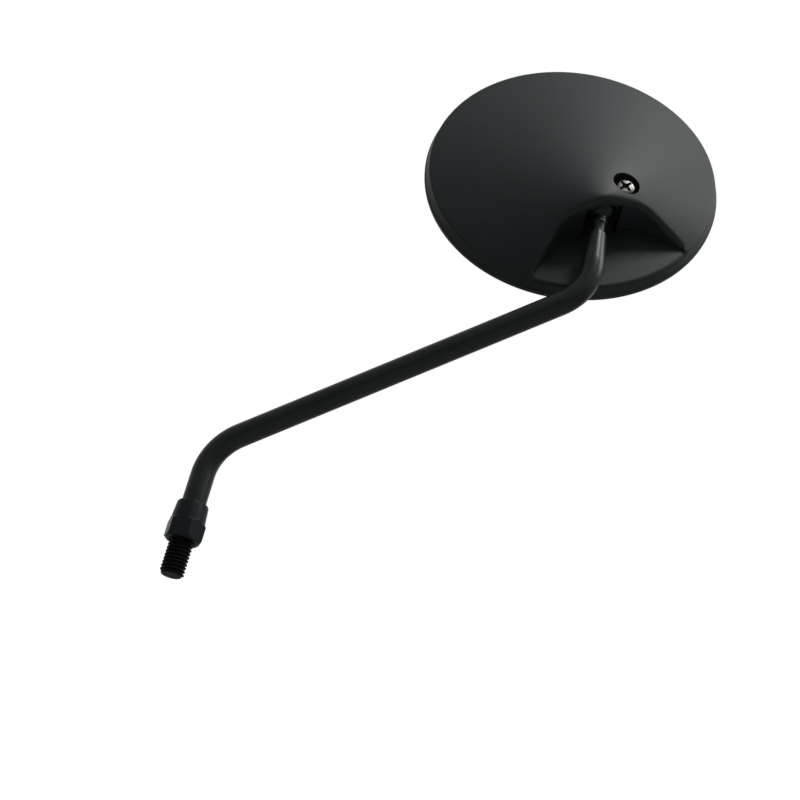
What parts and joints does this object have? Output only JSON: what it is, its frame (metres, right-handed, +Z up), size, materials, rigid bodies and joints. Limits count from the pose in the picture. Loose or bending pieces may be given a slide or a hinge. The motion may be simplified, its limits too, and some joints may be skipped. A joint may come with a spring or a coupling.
{
  "type": "motorcycle mirror",
  "caption": "Round convex mirror in a cone-backed housing, held by a ball joint on a bent stem that ends in a threaded stud with a lock nut.",
  "frame": {"origin": "on the stud's axis, in the lower face of the lock nut, which bears on the handlebar's boss", "axes": "+Z up the stud's axis along the stem, +X towards the side the stem leans to, the head's back faces -Y"},
  "size_m": [0.2025, 0.043, 0.2835],
  "materials": {
    "stem": "satin black",
    "nut": "satin black",
    "housing": "satin black",
    "seat": "dull black",
    "plate": "black coated",
    "screw": "dull plated",
    "mirror": "polished",
    "gasket": "dull"
  },
  "bodies": {
    "stem": {"stem": "stem"},
    "nut": {"lock_nut": "nut"},
    "seat_a": {"ball_seat_upper": "seat"},
    "seat_b": {"ball_seat_lower": "seat"},
    "head": {"housing": "housing", "clamp_plate": "plate", "clamp_screw": "screw", "spring_washer": "screw", "clamp_nut": "screw", "mirror_glass": "mirror", "glass_gasket": "gasket", "backing_pad": "gasket"}
  },
  "joints": [
    {"name": "nut_travel", "type": "slide", "parent": "stem", "child": "nut", "axis": [0, 0, -1], "range_m": [0, 0.01]},
    {"name": "head_turn", "type": "hinge", "parent": "stem", "child": "seat_a", "pos_m": [0.14674, 0, 0.17333], "axis": [0, 0, 1], "continuous": true},
    {"name": "head_tilt", "type": "hinge", "parent": "seat_a", "child": "seat_b", "pos_m": [0.14674, 0, 0.17333], "axis": [0.972, 0.2351, 0], "range_deg": [-2.9, 16]},
    {"name": "head_roll", "type": "hinge", "parent": "seat_b", "child": "head", "pos_m": [0.14674, 0, 0.17333], "axis": [0.2349, -0.971, 0.0436], "range_deg": [-65, 17]}
  ]
}
